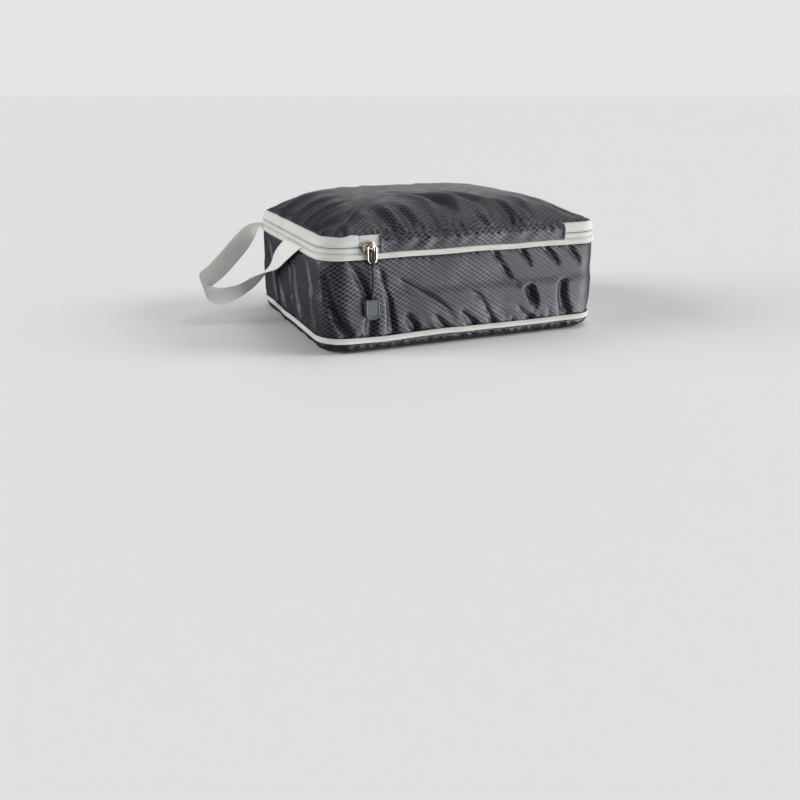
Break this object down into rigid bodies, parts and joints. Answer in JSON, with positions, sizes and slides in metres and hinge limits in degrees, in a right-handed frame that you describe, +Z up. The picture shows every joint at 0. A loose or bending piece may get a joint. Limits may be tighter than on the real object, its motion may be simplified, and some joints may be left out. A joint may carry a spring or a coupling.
{
  "type": "packing cube",
  "caption": "Soft rectangular travel packing cube with a crowned zip-open lid, an open expansion gusset between two compression zip halves, and a side carry loop.",
  "frame": {"origin": "centre of the flat bottom that the cube rests on", "axes": "+X along the long side, to the right seen from the front; +Y towards the back; +Z up"},
  "size_m": [0.3854, 0.2533, 0.1385],
  "materials": {
    "ripstop": "semi-gloss coated ripstop nylon with a fine diamond grid",
    "zip_tape": "matt woven polyester tape",
    "zip_coil": "satin nylon coil",
    "binding": "matt woven binding",
    "webbing": "ribbed woven webbing",
    "slider_metal": "bronze-tinted plated die casting",
    "pull_cord": "matt braided cord",
    "pull_tab": "matt moulded rubber"
  },
  "bodies": {
    "base": {"bottom_panel": "ripstop", "bottom_seam_binding": "binding", "expansion_gusset": "ripstop", "lower_compression_tape": "zip_tape", "lower_compression_coil": "zip_coil"},
    "zip_band": {"upper_compression_tape": "zip_tape", "upper_compression_coil": "zip_coil", "band_seam_binding": "binding", "access_lower_tape": "zip_tape", "access_lower_coil": "zip_coil", "front_hinge_strip": "ripstop", "access_closed_end_tape": "zip_tape", "access_closed_end_coil": "zip_coil"},
    "lid": {"lid_panel": "ripstop", "lid_seam_binding": "binding", "access_upper_tape": "zip_tape", "access_upper_coil": "zip_coil"},
    "handle": {"side_handle": "webbing"},
    "access_slider_body": {"access_slider": "slider_metal"},
    "access_loop": {"access_pull_loop": "slider_metal"},
    "access_tab": {"access_pull_cord": "pull_cord", "access_pull_tab": "pull_tab"},
    "compression_slider_body": {"compression_slider": "slider_metal"},
    "compression_loop": {"compression_pull_loop": "slider_metal"},
    "compression_tab": {"compression_pull_cord": "pull_cord", "compression_pull_tab": "pull_tab"}
  },
  "joints": [
    {"name": "compress", "type": "slide", "parent": "base", "child": "zip_band", "axis": [0, 0, 1], "range_m": [-0.0725, 0], "deforming": ["expansion_gusset"]},
    {"name": "lid_hinge", "type": "hinge", "parent": "zip_band", "child": "lid", "pos_m": [0, -0.11475, 0.1105], "axis": [1, 0, 0], "range_deg": [0, 140]},
    {"name": "handle_swing", "type": "hinge", "parent": "zip_band", "child": "handle", "pos_m": [-0.1536, 0.034, 0.0946], "axis": [0, -1, 0], "range_deg": [-90, 0]},
    {"name": "access_slide", "type": "slide", "parent": "zip_band", "child": "access_slider_body", "axis": [1, 0, 0], "range_m": [-0.012, 0]},
    {"name": "access_loop_lift", "type": "hinge", "parent": "access_slider_body", "child": "access_loop", "pos_m": [-0.104, -0.12305, 0.1026], "axis": [1, 0, 0], "range_deg": [-150, 0]},
    {"name": "access_tab_swing", "type": "hinge", "parent": "access_loop", "child": "access_tab", "pos_m": [-0.104, -0.12305, 0.0861], "axis": [0, 1, 0], "range_deg": [-45, 45]},
    {"name": "compression_slide", "type": "slide", "parent": "zip_band", "child": "compression_slider_body", "axis": [1, 0, 0], "range_m": [-0.224, 0]},
    {"name": "compression_loop_lift", "type": "hinge", "parent": "compression_slider_body", "child": "compression_loop", "pos_m": [0.109, 0.12515, 0.0906], "axis": [-1, 0, 0], "range_deg": [-150, 0]},
    {"name": "compression_tab_swing", "type": "hinge", "parent": "compression_loop", "child": "compression_tab", "pos_m": [0.109, 0.12515, 0.0741], "axis": [0, 1, 0], "range_deg": [-45, 45]}
  ]
}
